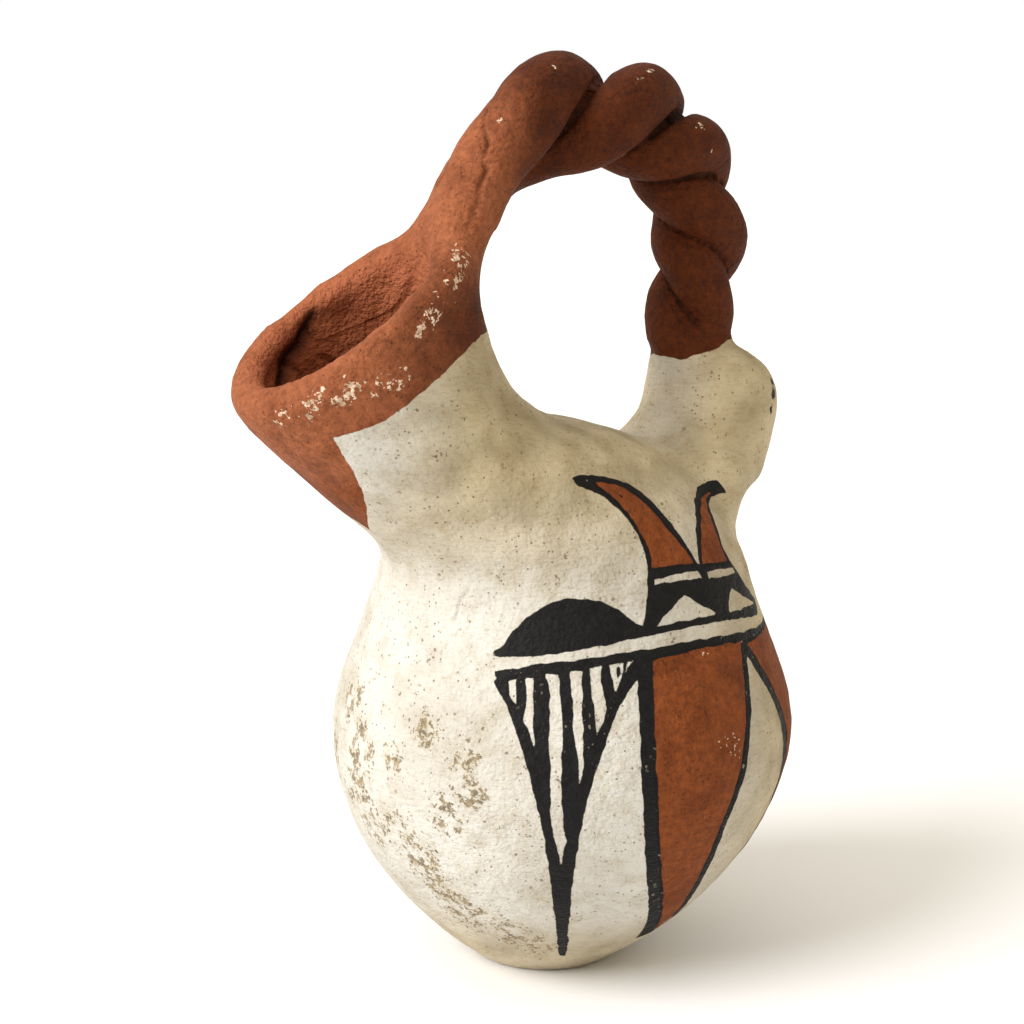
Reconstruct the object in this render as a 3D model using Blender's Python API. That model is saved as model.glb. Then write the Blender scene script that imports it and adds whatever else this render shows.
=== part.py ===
"""Bird effigy pot: a hand-built clay pitcher with a round belly, a wide spout where the tail would be,
a bird's head that faces away from it, and a handle of two clay ropes twisted together over the back.

Units are metres and +Z is up. The pot stands on Z = 0, the bird faces +X and the spout points to -X,
so the plane Y = 0 cuts the head, the handle and the spout in half.
"""

import math

import bmesh
import bpy
from mathutils import Vector

MM = 0.001

# The whole pot. The spout, head and handle are drawn in units of which the pot is so many tall.
HEIGHT = 164.0 * MM
DRAWN_UNITS = 164

# Bowl
FOOT_RADIUS = 13.5 * MM
FOOT_SHIFT = 3.8 * MM
BELLY_RADIUS = 42.3 * MM
BELLY_HEIGHT = 41.4 * MM

# Walls
WALL = 5.0 * MM
FLOOR = 6.0 * MM
ROOT_WALL = 9.0 * MM
HEAD_WALL = 5.5 * MM
RIM_ROUNDING = 2.5 * MM

# Handle
ROPE_RADIUS = 6.0 * MM

# Facets
OUTER_SIDES = 36
INNER_SIDES = 24
ROPE_STEP = 2.4 * MM
ROPE_BEVEL_STEPS = 4

# The round sections of the bowl: how far up each one is as a share of the belly's height, and how far its
# radius has grown as a share of the way from the foot's to the belly's.
BOWL = [
    (0.0, 0.0),
    (0.045, 0.082),
    (0.15, 0.278),
    (0.34, 0.562),
    (0.57, 0.798),
    (0.79, 0.94),
    (1.0, 1.0),
]

# The round sections of the shoulder: how far up each one is as a share of the way from the belly to the
# throat, and its radius as a share of the belly's.
SHOULDER = [
    (0.25, 0.977),
    (0.5, 0.91),
    (0.77, 0.83),
]

# The sections of the throat and the spout, in drawn units: where each one meets the plane Y = 0, as x and z
# at its back and then at its front, and its half width
SPOUT = [
    (-33.6, 75.6, 32.2, 77.3, 31.8),
    (-37.8, 81.4, 27.0, 86.2, 28.3),
    (-42.8, 85.4, 16.4, 94.3, 24.6),
    (-47.9, 89.8, 4.0, 99.1, 22.0),
    (-53.3, 94.6, -7.8, 102.2, 20.2),
    (-58.6, 99.2, -16.2, 109.3, 19.3),
    (-62.0, 102.5, -21.0, 121.0, 19.2),
    (-63.9, 105.2, -23.2, 135.4, 19.4),
]

# The sections of the neck and head, in the same form
HEAD = [
    (5.0, 83.0, 27.5, 68.5, 16.6),
    (11.5, 90.0, 33.4, 75.0, 17.4),
    (17.2, 95.0, 36.2, 81.2, 16.2),
    (21.3, 99.5, 41.9, 84.4, 13.8),
    (22.4, 103.5, 44.0, 87.6, 12.9),
    (22.6, 108.0, 46.4, 92.3, 12.3),
    (23.2, 111.4, 48.2, 98.5, 11.6),
    (26.0, 113.6, 47.2, 103.5, 9.8),
    (30.5, 113.8, 44.5, 107.0, 7.0),
]

# Clay smeared between the ropes where they leave the rim, in the same form
WEB = [
    (-33.0, 127.6, -23.5, 122.0, 11.0),
    (-31.0, 133.2, -22.0, 128.0, 8.5),
    (-27.2, 140.0, -19.8, 134.8, 6.0),
    (-20.6, 147.6, -15.2, 140.4, 4.5),
    (-11.4, 152.2, -7.9, 146.2, 2.5),
]

# The hollow that runs on from the mouth up the back of that web, between the ropes, in the same form
SCOOP = [
    (-46.0, 106.0, -24.9, 111.0, 9.0),
    (-49.0, 112.5, -26.9, 118.0, 10.5),
    (-51.0, 119.0, -28.7, 124.0, 11.0),
    (-52.0, 125.5, -29.7, 129.0, 9.8),
    (-52.0, 131.0, -29.8, 133.5, 7.6),
    (-51.0, 138.0, -28.7, 138.5, 5.2),
    (-48.0, 146.0, -25.8, 143.5, 3.0),
]

# The handle's middle line in the plane Y = 0, as x and z in drawn units. Each point also has how many turns
# the ropes have made there, and as shares of the rope's radius, how far each rope lies from the line and
# how thick it is.
ARCH = [
    (-41.0, 117.0, 0.27, 2.5, 0.6),
    (-32.7, 122.0, 0.275, 1.82, 0.75),
    (-27.9, 129.4, 0.242, 1.16, 0.85),
    (-22.6, 135.7, 0.19, 0.83, 0.95),
    (-17.2, 144.0, 0.167, 0.76, 1.05),
    (-9.6, 150.0, 0.14, 0.94, 1.08),
    (-2.6, 153.2, 0.02, 0.76, 1.04),
    (6.8, 153.9, -0.214, 0.83, 1.04),
    (17.8, 151.7, -0.51, 0.7, 0.99),
    (26.8, 144.1, -0.942, 0.66, 0.97),
    (31.2, 130.6, -1.4, 0.58, 0.91),
    (29.4, 120.6, -1.78, 0.53, 0.87),
    (28.9, 109.0, -2.105, 0.48, 0.91),
    (29.6, 100.4, -2.35, 0.46, 0.8),
]


def smooth_path(points, steps):
    """Points on a Catmull-Rom spline through tuples of any length, with so many steps a span."""
    made = []
    last = len(points) - 1
    for i in range(last):
        around = (points[max(i - 1, 0)], points[i], points[i + 1], points[min(i + 2, last)])
        for step in range(steps):
            t = step / steps
            made.append(tuple(between(t, *values) for values in zip(*around)))
    return made + [tuple(points[last])]


def between(t, a, b, c, d):
    """The Catmull-Rom value a share t of the way from b to c."""
    linear = (c - a) * t
    square = (2 * a - 5 * b + 4 * c - d) * t * t
    cubic = (3 * b - a - 3 * c + d) * t**3
    return b + (linear + square + cubic) / 2


def drawn(rows):
    """Rows of a table in drawn units as rows in metres."""
    return [tuple(value * HEIGHT / DRAWN_UNITS for value in row) for row in rows]


def round_section(x, z, radius):
    return (x - radius, z, x + radius, z, radius)


def body_sections(steps):
    """The sections of the bowl, leaning over its foot, and then of the shoulder and the spout."""
    sections = []
    for up, grown in BOWL:
        radius = FOOT_RADIUS + (BELLY_RADIUS - FOOT_RADIUS) * grown
        sections.append(round_section(-FOOT_SHIFT * (1 - up) ** 1.3, BELLY_HEIGHT * up, radius))
    spout = drawn(SPOUT)
    throat = spout[0][1]
    for up, width in SHOULDER:
        height = BELLY_HEIGHT + (throat - BELLY_HEIGHT) * up
        sections.append(round_section(0, height, BELLY_RADIUS * width))
    return smooth_path(sections + spout, steps)


def ring(section, sides, turn=0.5, back_inset=0.0, front_inset=0.0, side_inset=0.0, raised=0.0):
    """The points of an oval section, set in from its edges and raised along its own upward normal."""
    back = Vector((section[0], 0, section[1]))
    front = Vector((section[2], 0, section[3]))
    forward = (front - back).normalized()
    normal = Vector((-forward.z, 0, forward.x))
    back = back + forward * back_inset + normal * raised
    front = front - forward * front_inset + normal * raised
    middle = (back + front) / 2
    across = Vector((0, section[4] - side_inset, 0))
    points = []
    for i in range(sides):
        angle = 2 * math.pi * (i + turn) / sides
        points.append(middle + (front - back) / 2 * math.cos(angle) + across * math.sin(angle))
    return points


def loft(name, rings):
    """A closed mesh object through rings of equal count, with flat ends."""
    shape = bmesh.new()
    rows = [[shape.verts.new(point) for point in points] for points in rings]
    for low, high in zip(rows, rows[1:]):
        for i in range(len(low)):
            j = (i + 1) % len(low)
            shape.faces.new((low[i], low[j], high[j], high[i]))
    shape.faces.new(reversed(rows[0]))
    shape.faces.new(rows[-1])
    bmesh.ops.recalc_face_normals(shape, faces=shape.faces)
    mesh = bpy.data.meshes.new(name)
    shape.to_mesh(mesh)
    shape.free()
    return bpy.data.objects.new(name, mesh)


def body():
    """The outside of the bowl and spout, rounded over at the rim."""
    sections = body_sections(2)
    rings = [ring(section, OUTER_SIDES) for section in sections]
    for share, raised in ((0.28, 0.68), (0.88, 1.0)):
        inset = share * RIM_ROUNDING
        rings.append(ring(sections[-1], OUTER_SIDES, 0.5, inset, inset, inset, raised * RIM_ROUNDING))
    return loft("pot", rings)


def cavity():
    """The space inside the bowl and spout, flared at the mouth. The wall is thicker under the handle."""
    sections = body_sections(2)
    root = sections[-1][3]
    saddle = drawn(SPOUT)[3][3]
    rings = []
    for section in sections[:-1]:
        lift = FLOOR * (1 - min(section[1] / BELLY_HEIGHT, 1))
        lifted = (section[0], section[1] + lift, section[2], section[3] + lift, section[4])
        share = max(0, min(1, (section[3] - saddle) / (root - saddle)))
        front = WALL + (ROOT_WALL - WALL) * share
        rings.append(ring(lifted, INNER_SIDES, 0.5, WALL, front, WALL))
    for share, raised in ((0.56, -0.4), (0.32, 0.5), (-0.3, 1.04), (-0.44, 3.2)):
        wall = WALL + share * RIM_ROUNDING
        front = ROOT_WALL + share * RIM_ROUNDING
        rings.append(ring(sections[-1], INNER_SIDES, 0.5, wall, front, wall, raised * RIM_ROUNDING))
    return loft("cavity", rings)


def head():
    return loft("head", [ring(section, OUTER_SIDES, 0.25) for section in smooth_path(drawn(HEAD), 3)])


def head_cavity():
    sections = smooth_path(drawn(HEAD), 2)[:-4]
    walls = (HEAD_WALL, HEAD_WALL, HEAD_WALL)
    return loft("head_cavity", [ring(section, INNER_SIDES, 0.25, *walls) for section in sections])


def web():
    return loft("web", [ring(section, INNER_SIDES, 0.4) for section in smooth_path(drawn(WEB), 2)])


def scoop():
    return loft("scoop", [ring(section, INNER_SIDES) for section in smooth_path(drawn(SCOOP), 2)])


def arch_points():
    """Evenly spaced points on the handle's middle line, each with its outward side and its rope's values."""
    line = drawn(row[:2] for row in ARCH)
    rows = [place + (turns, away * ROPE_RADIUS, thick) for place, (_, _, turns, away, thick) in zip(line, ARCH)]
    dense = smooth_path(rows, 20)
    lengths = [0.0]
    for a, b in zip(dense, dense[1:]):
        lengths.append(lengths[-1] + math.dist(a[:2], b[:2]))
    count = round(lengths[-1] / ROPE_STEP)
    points = []
    k = 0
    for i in range(count + 1):
        wanted = lengths[-1] * i / count
        while k < len(dense) - 2 and lengths[k + 1] < wanted:
            k += 1
        share = (wanted - lengths[k]) / (lengths[k + 1] - lengths[k])
        x, z, turns, away, thick = (a + (b - a) * share for a, b in zip(dense[k], dense[k + 1]))
        along = Vector((dense[k + 1][0] - dense[k][0], 0, dense[k + 1][1] - dense[k][1])).normalized()
        points.append((Vector((x, 0, z)), Vector((-along.z, 0, along.x)), turns, away, thick))
    return points


def rope(name, start):
    """One clay rope of the handle, wound round its middle line from a share of a turn."""
    curve = bpy.data.curves.new(name, "CURVE")
    curve.dimensions = "3D"
    curve.bevel_depth = ROPE_RADIUS
    curve.bevel_resolution = ROPE_BEVEL_STEPS
    curve.use_fill_caps = True
    points = arch_points()
    spline = curve.splines.new("POLY")
    spline.points.add(len(points) - 1)
    for point, (middle, outward, turns, away, thick) in zip(spline.points, points):
        angle = 2 * math.pi * (turns + start)
        side = Vector((0, -1, 0))
        place = middle + (outward * math.cos(angle) + side * math.sin(angle)) * away
        point.co = (*place, 1)
        point.radius = thick
    return solid_curve(name, curve)


def solid_curve(name, curve):
    """The curve's evaluated shape as a closed mesh object."""
    source = bpy.data.objects.new(name, curve)
    bpy.context.scene.collection.objects.link(source)
    evaluated = source.evaluated_get(bpy.context.evaluated_depsgraph_get())
    mesh = bpy.data.meshes.new_from_object(evaluated)
    made = bpy.data.objects.new(name, mesh)
    made.matrix_world = source.matrix_world
    bpy.data.objects.remove(source)
    shape = bmesh.new()
    shape.from_mesh(mesh)
    bmesh.ops.remove_doubles(shape, verts=shape.verts, dist=0.00001)
    bmesh.ops.recalc_face_normals(shape, faces=shape.faces)
    shape.to_mesh(mesh)
    shape.free()
    return made


def combine(target, name, operation, shapes):
    """Adds shapes to the target, or cuts them from it. They are kept in a collection of their own."""
    group = bpy.data.collections.new(name)
    bpy.context.scene.collection.children.link(group)
    for shape in shapes:
        group.objects.link(shape)
        shape.hide_render = True
        shape.display_type = "WIRE"
    modifier = target.modifiers.new(name, "BOOLEAN")
    modifier.operation = operation
    modifier.operand_type = "COLLECTION"
    modifier.collection = group
    modifier.solver = "EXACT"


def clay_material():
    material = bpy.data.materials.new("cream_slip")
    material.use_nodes = True
    surface = material.node_tree.nodes["Principled BSDF"]
    surface.inputs["Base Color"].default_value = (0.62, 0.56, 0.44, 1)
    surface.inputs["Roughness"].default_value = 0.8
    surface.inputs["Metallic"].default_value = 0.0
    return material


def main():
    for old in list(bpy.data.objects):
        bpy.data.objects.remove(old)
    whole = bpy.data.collections.new("bird_effigy_pot")
    bpy.context.scene.collection.children.link(whole)
    pot = body()
    whole.objects.link(pot)
    pot.data.materials.append(clay_material())
    pot.data.shade_smooth()
    combine(pot, "added_clay", "UNION", [rope("rope_a", 0.0), rope("rope_b", 0.5), web(), head()])
    combine(pot, "hollows", "DIFFERENCE", [cavity(), head_cavity(), scoop()])


main()
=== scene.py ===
"""The bird effigy pot in clay and paint, on a pale floor in soft light.

The frame's one solid is replaced by a finer model built from the same sizes: its lofts and ropes are joined,
hollowed, remeshed and smoothed where the potter would have smeared the joints, and then given the small dents
of a hand-made surface. The painted figures are outlines in degrees round the pot and millimetres of height.
Each becomes a distance in millimetres from its own edge, kept on the mesh for the clay's material to read.
"""

import math

import bpy
import numpy as np
from mathutils import Matrix, Vector, noise
from mathutils.bvhtree import BVHTree


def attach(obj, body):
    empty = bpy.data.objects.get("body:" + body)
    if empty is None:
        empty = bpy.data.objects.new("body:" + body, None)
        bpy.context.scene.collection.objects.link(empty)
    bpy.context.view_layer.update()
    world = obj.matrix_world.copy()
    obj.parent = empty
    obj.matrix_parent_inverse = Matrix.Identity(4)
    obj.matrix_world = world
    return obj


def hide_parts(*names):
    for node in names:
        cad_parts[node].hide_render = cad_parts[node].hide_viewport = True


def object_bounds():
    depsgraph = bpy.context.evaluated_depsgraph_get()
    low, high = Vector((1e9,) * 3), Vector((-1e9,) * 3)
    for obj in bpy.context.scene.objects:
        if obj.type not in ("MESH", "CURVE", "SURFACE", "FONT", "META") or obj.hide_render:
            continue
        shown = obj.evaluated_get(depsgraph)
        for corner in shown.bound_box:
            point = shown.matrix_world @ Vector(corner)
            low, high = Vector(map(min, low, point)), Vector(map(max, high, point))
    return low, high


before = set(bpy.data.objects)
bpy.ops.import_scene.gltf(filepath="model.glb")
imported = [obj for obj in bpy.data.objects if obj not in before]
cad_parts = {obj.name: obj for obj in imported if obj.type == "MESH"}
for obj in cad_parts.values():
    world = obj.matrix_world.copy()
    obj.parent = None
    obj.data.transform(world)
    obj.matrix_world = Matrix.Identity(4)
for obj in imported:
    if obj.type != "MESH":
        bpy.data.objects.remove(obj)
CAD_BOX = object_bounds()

MM = 0.001

# Camera: azimuth and height above the level in degrees, distance and picture scale in millimetres
AZIMUTH, ELEVATION = -35.0, 11.0
DISTANCE, MM_PER_PIXEL, PICTURE = 380.0, 0.19, 1024
BASE_PIXEL = (561, 937)

# Shape, in millimetres. Sections are x and z at the back, x and z at the front, and half width
FOOT_RADIUS, FOOT_SHIFT, BELLY_RADIUS, BELLY_HEIGHT = 13.5, 3.8, 42.3, 41.4
WALL, FLOOR, ROOT_WALL, HEAD_WALL, RIM_ROUNDING = 5.0, 6.0, 9.0, 5.5, 2.5
ROPE_RADIUS = 6.0
BOWL = [(0, 0), (0.045, 0.082), (0.15, 0.278), (0.34, 0.562), (0.57, 0.798), (0.79, 0.94), (1, 1)]
SHOULDER = [(0.25, 0.977), (0.5, 0.91), (0.77, 0.83)]
SPOUT = [
    (-33.6, 75.6, 32.2, 77.3, 31.8),
    (-37.8, 81.4, 27.0, 86.2, 28.3),
    (-42.8, 85.4, 16.4, 94.3, 24.6),
    (-47.9, 89.8, 4.0, 99.1, 22.0),
    (-53.3, 94.6, -7.8, 102.2, 20.2),
    (-58.6, 99.2, -16.2, 109.3, 19.3),
    (-62.0, 102.5, -21.0, 121.0, 19.2),
    (-63.9, 105.2, -23.2, 135.4, 19.4),
]
HEAD = [
    (5.0, 83.0, 27.5, 68.5, 16.6),
    (11.5, 90.0, 33.4, 75.0, 17.4),
    (17.2, 95.0, 36.2, 81.2, 16.2),
    (21.3, 99.5, 41.9, 84.4, 13.8),
    (22.4, 103.5, 44.0, 87.6, 12.9),
    (22.6, 108.0, 46.4, 92.3, 12.3),
    (23.2, 111.4, 48.2, 98.5, 11.6),
    (26.0, 113.6, 47.2, 103.5, 9.8),
    (30.5, 113.8, 44.5, 107.0, 7.0),
]
WEB = [
    (-33.0, 127.6, -23.5, 122.0, 11.0),
    (-31.0, 133.2, -22.0, 128.0, 8.5),
    (-27.2, 140.0, -19.8, 134.8, 6.0),
    (-20.6, 147.6, -15.2, 140.4, 4.5),
    (-11.4, 152.2, -7.9, 146.2, 2.5),
]
SCOOP = [
    (-46.0, 106.0, -24.9, 111.0, 9.0),
    (-49.0, 112.5, -26.9, 118.0, 10.5),
    (-51.0, 119.0, -28.7, 124.0, 11.0),
    (-52.0, 125.5, -29.7, 129.0, 9.8),
    (-52.0, 131.0, -29.8, 133.5, 7.6),
    (-51.0, 138.0, -28.7, 138.5, 5.2),
    (-48.0, 146.0, -25.8, 143.5, 3.0),
]
# x, z, turns of the ropes, their distance from the line and their thickness as shares of the rope's radius
ARCH = [
    (-41.0, 117.0, 0.27, 2.5, 0.6),
    (-32.7, 122.0, 0.275, 1.82, 0.75),
    (-27.9, 129.4, 0.242, 1.16, 0.85),
    (-22.6, 135.7, 0.19, 0.83, 0.95),
    (-17.2, 144.0, 0.167, 0.76, 1.05),
    (-9.6, 150.0, 0.14, 0.94, 1.08),
    (-2.6, 153.2, 0.02, 0.76, 1.04),
    (6.8, 153.9, -0.214, 0.83, 1.04),
    (17.8, 151.7, -0.51, 0.7, 0.99),
    (26.8, 144.1, -0.942, 0.66, 0.97),
    (31.2, 130.6, -1.4, 0.58, 0.91),
    (29.4, 120.6, -1.78, 0.53, 0.87),
    (28.9, 109.0, -2.105, 0.48, 0.91),
    (29.6, 100.4, -2.35, 0.46, 0.8),
]
# The size of the even mesh, and the longest edges kept along creases and cuts, and along the paint's edges
VOXEL, CREASE_EDGES, PAINT_EDGES = 1.1, (0.7, 0.45), (0.8, 0.52)
# The share of triangles kept on the inner skin, and how far up the spout's axis that is rough
INNER_SHARE, INNER_END = 0.15, 46.0

# Small features of the surface: x, y, z, reach, and height out of the surface, in millimetres
DENTS = [
    (-34.4, -17.6, 87.6, 9.0, -0.9),
    (-44.2, -15.2, 94.9, 7.0, -0.4),
    (-25.0, -21.8, 93.9, 7.0, 0.35),
    (-13.2, -28.3, 80.1, 6.0, 0.3),
    (-29.6, -15.2, 74.6, 3.5, 0.45),
    (-36.4, -14.5, 56.3, 10.0, 0.3),
    (-28.0, -26.0, 64.0, 8.0, 0.25),
    (22.0, 36.0, 40.0, 10.0, -0.4),
    (-20.0, 34.0, 56.0, 9.0, 0.3),
    (-34.4, 17.6, 88.6, 8.0, -0.6),
    (-41.0, -19.2, 116.5, 4.0, -0.7),
    (-46.0, -12.1, 93.0, 3.0, 0.4),
    (-41.5, -10.5, 87.6, 3.0, -0.5),
]

# Cracks, scratches and creases pressed in the clay: width, depth and the points they run through
GROOVES = [
    (0.4, 0.6, [(-19.4, -4.2, 154.0), (-21.6, -6.2, 151.4), (-22.0, -8.5, 148.7), (-23.8, -9.4, 145.9)]),
    (0.6, 1.1, [(-23.8, -9.4, 145.9), (-23.1, -10.0, 144.4), (-24.6, -9.9, 142.0)]),
    (0.7, 0.35, [(-24.6, -9.9, 142.0), (-25.0, -9.9, 139.3), (-27.5, -10.2, 134.5)]),
    (0.6, 1.6, [(-31.1, 2.3, 132.9), (-31.0, 2.5, 132.5)]),
    (0.35, 0.4, [(-30.1, -14.4, 74.5), (-31.0, -13.2, 72.7), (-32.1, -12.8, 69.3)]),
    (0.6, 0.35, [(-45.5, -18.6, 114.6), (-42.5, -19.3, 116.8), (-39.6, -19.3, 119.2)]),
    (1.6, 1.2, [(-43.5, 13.5, 119.5), (-45.9, 14.2, 114.4), (-48.2, 13.6, 112.8), (-50.5, 12.5, 108.0)]),
    (0.5, 0.3, [(-40.0, -9.0, 80.5), (-36.5, -14.5, 81.5), (-32.0, -18.6, 84.0)]),
    (0.5, 0.25, [(-30.0, -18.0, 92.0), (-33.0, -17.5, 88.0), (-36.0, -15.5, 85.5)]),
    (0.8, 0.5, [(-50.0, 12.5, 112.0), (-46.5, 14.2, 110.0), (-44.0, 14.4, 106.5)]),
    (0.7, 0.6, [(-54.5, 8.0, 108.5), (-52.0, 11.0, 107.0), (-49.5, 12.6, 103.0)]),
    (0.7, 0.5, [(-43.0, 15.0, 113.0), (-39.5, 14.0, 111.0), (-37.0, 14.0, 107.0)]),
]

# Low ridges raised on the clay: width, height and the points they run through
RIDGES = [
    (1.7, 0.6, [
        (-61.3, -8.3, 105.7), (-57.2, -14.0, 109.2), (-52.2, -17.0, 110.7), (-46.2, -18.8, 112.1),
        (-41.4, -19.3, 119.5), (-38.5, -18.8, 124.1), (-34.4, -16.9, 127.7), (-30.2, -13.9, 131.1),
        (-27.0, -12.2, 135.5),
    ]),
]

# Painted figures: degrees round from the bird's chest and height in millimetres
LEFT_HORN = [
    (-123.2, 93.3), (-120.3, 93.5), (-115.3, 93.4), (-109.8, 92.9), (-103.9, 92.1), (-97.9, 91.2),
    (-92.6, 89.9), (-88.4, 88.0), (-85.5, 85.9), (-83.2, 83.8), (-81.4, 82.0), (-80.3, 80.9),
    (-79.3, 79.4), (-78.5, 77.9), (-78.1, 76.5), (-77.6, 75.1), (-85.2, 73.6), (-96.8, 72.8),
    (-103.5, 69.0), (-102.6, 70.3), (-101.3, 72.4), (-100.1, 74.9), (-99.2, 77.2), (-98.7, 79.3),
    (-98.9, 81.2), (-99.9, 83.1), (-102.0, 85.0), (-104.4, 86.7), (-107.1, 88.1), (-111.5, 89.8),
    (-116.0, 91.0), (-119.1, 91.5), (-120.8, 91.8), (-122.2, 92.4),
]
LEFT_HORN_RED = [
    (-114.0, 92.1), (-110.3, 92.0), (-105.6, 91.5), (-101.0, 90.7), (-96.0, 89.3), (-91.9, 87.6),
    (-89.0, 85.8), (-86.4, 83.6), (-83.9, 81.6), (-81.8, 79.9), (-80.4, 78.4), (-79.8, 77.5),
    (-86.6, 77.8), (-91.4, 77.9), (-96.8, 78.0), (-96.3, 79.5), (-96.8, 81.2), (-98.1, 83.1),
    (-99.6, 84.8), (-101.9, 86.8), (-104.9, 88.6), (-108.5, 90.2), (-112.2, 91.4),
]
RIGHT_HORN = [
    (-75.5, 74.8), (-77.3, 76.9), (-76.8, 78.6), (-75.2, 80.4), (-72.4, 82.4), (-67.5, 84.6),
    (-59.5, 86.6), (-48.0, 87.6), (-38.5, 88.2), (-36.0, 88.3), (-34.6, 88.2), (-34.2, 87.2),
    (-34.0, 85.7), (-35.1, 85.8), (-37.5, 85.9), (-42.7, 85.7), (-48.7, 84.9), (-53.1, 83.7),
    (-56.1, 82.3), (-58.5, 80.6), (-59.8, 78.6), (-59.6, 76.6), (-57.8, 74.6), (-54.9, 72.2),
    (-50.6, 69.9), (-47.8, 68.7), (-61.5, 69.5), (-71.7, 72.4),
]
RIGHT_HORN_RED = [
    (-42.8, 86.5), (-39.0, 86.5), (-48.2, 85.7), (-54.6, 84.3), (-58.1, 82.7), (-60.2, 80.7),
    (-61.4, 78.8), (-61.5, 77.1), (-61.2, 76.2), (-69.1, 76.7), (-75.9, 77.1), (-74.6, 78.6),
    (-71.9, 80.8), (-68.0, 82.8), (-61.7, 84.8), (-53.7, 86.0),
]
LEFT_STRIP = [
    (-97.3, 76.1), (-90.8, 76.2), (-84.2, 76.3), (-79.9, 76.3), (-79.2, 76.1), (-78.2, 74.9),
    (-83.2, 75.2), (-88.2, 75.3), (-92.8, 75.3), (-97.4, 75.1),
]
RIGHT_STRIP = [(-75.1, 75.7), (-68.1, 75.5), (-59.3, 74.9), (-58.0, 73.8), (-67.0, 74.3), (-75.2, 74.6)]
BLOCK = [
    (-99.1, 77.4), (-100.1, 74.9), (-101.3, 72.4), (-102.6, 70.3), (-103.5, 69.0), (-104.8, 67.9),
    (-101.2, 67.3), (-96.1, 67.5), (-90.5, 67.6), (-84.6, 67.6), (-77.7, 67.5), (-69.7, 67.1),
    (-59.5, 66.2), (-48.7, 65.3), (-46.4, 66.4), (-45.4, 67.7), (-47.8, 68.7), (-50.6, 69.9),
    (-54.9, 72.2), (-57.8, 74.6), (-59.8, 76.6), (-69.1, 76.7), (-75.9, 77.1), (-79.8, 77.4),
    (-86.6, 77.8), (-91.4, 77.9), (-96.9, 78.0),
]
LEFT_POINT = [
    (-87.2, 72.9), (-83.9, 71.6), (-80.3, 70.3), (-76.0, 68.9), (-83.9, 68.9), (-91.4, 68.8),
    (-99.6, 68.6), (-95.0, 70.3), (-90.8, 71.7),
]
RIGHT_POINT = [
    (-64.5, 71.9), (-58.2, 69.7), (-49.0, 67.3), (-60.3, 67.9), (-69.8, 68.3), (-68.7, 69.7), (-67.0, 70.8),
]
DOME = [
    (-145.2, 64.8), (-145.0, 65.3), (-143.4, 65.8), (-142.0, 66.9), (-140.2, 68.4), (-138.4, 69.7),
    (-136.3, 70.9), (-133.5, 72.1), (-130.7, 73.0), (-128.4, 73.5), (-126.1, 73.9), (-122.6, 74.0),
    (-119.1, 73.8), (-115.6, 73.4), (-112.7, 72.7), (-109.9, 71.7), (-107.7, 70.7), (-105.5, 69.6),
    (-103.5, 69.0), (-102.2, 68.3), (-101.2, 67.3), (-106.1, 67.1), (-110.8, 66.8), (-115.3, 66.4),
    (-119.6, 66.0), (-124.5, 65.5), (-128.2, 65.2), (-132.4, 64.9), (-137.7, 64.5), (-143.2, 64.2),
    (-144.9, 64.5),
]
BAND_LINE = [
    (-144.1, 62.0), (-140.7, 62.5), (-136.5, 63.2), (-132.3, 63.6), (-127.1, 64.0), (-122.9, 64.3),
    (-118.7, 64.6), (-114.4, 64.8), (-109.9, 65.1), (-105.4, 65.3), (-100.5, 65.4), (-95.6, 65.4),
    (-90.1, 65.5), (-84.3, 65.4), (-77.6, 65.2), (-69.8, 64.8), (-62.4, 64.4), (-51.0, 63.7),
    (-30.0, 63.5), (-30.0, 62.0), (-51.9, 62.2), (-64.4, 62.3), (-68.5, 63.2), (-74.3, 63.6),
    (-82.8, 63.9), (-90.1, 63.9), (-96.8, 63.7), (-101.8, 63.5), (-106.4, 63.2), (-109.0, 63.7),
    (-114.0, 63.4), (-118.8, 63.1), (-123.0, 62.8), (-127.1, 62.6), (-132.2, 62.2), (-138.4, 61.4),
    (-142.6, 61.0), (-143.9, 61.3),
]
# Edges that a red panel shares with the black line beside it
PANEL_LEFT = [
    (-87.5, 12.5), (-93.8, 18.0), (-96.7, 21.9), (-99.0, 25.4), (-101.2, 29.9), (-102.8, 35.3),
    (-103.8, 41.0), (-104.2, 46.2), (-104.1, 51.1), (-103.5, 55.8), (-102.5, 60.4),
]
PANEL_RIGHT = [
    (-68.5, 63.2), (-69.6, 61.5), (-70.8, 59.4), (-72.0, 57.1), (-74.0, 54.1), (-75.9, 51.0),
    (-77.6, 47.8), (-79.2, 44.6), (-80.8, 41.4), (-82.2, 38.3), (-83.7, 35.0), (-84.7, 31.4),
    (-85.0, 28.2), (-84.8, 23.8), (-83.3, 18.9), (-81.0, 14.6),
]
FAR_PANEL_LEFT = [
    (-57.0, 21.0), (-54.8, 27.0), (-53.4, 33.0), (-52.5, 38.0), (-52.2, 42.0), (-52.5, 45.9),
    (-53.8, 48.4), (-55.4, 50.9), (-57.2, 53.7), (-59.3, 56.6), (-61.9, 59.4),
]
COLUMN = [
    (-107.2, 64.6), (-101.3, 64.8), (-101.8, 63.6), *PANEL_LEFT[::-1], (-80.0, 8.0), (-91.0, 8.0),
    (-93.4, 11.2), (-99.5, 18.5), (-103.4, 25.1), (-105.6, 30.5), (-106.9, 35.7), (-107.8, 41.3),
    (-108.1, 45.4), (-108.1, 49.4), (-107.8, 53.8), (-107.4, 57.6), (-106.9, 60.5),
]
PANEL = [
    (-101.8, 63.5), (-96.8, 63.7), (-90.1, 63.9), (-82.8, 63.9), (-74.3, 63.6), *PANEL_RIGHT,
    (-80.0, 9.0), *PANEL_LEFT,
]
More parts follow.
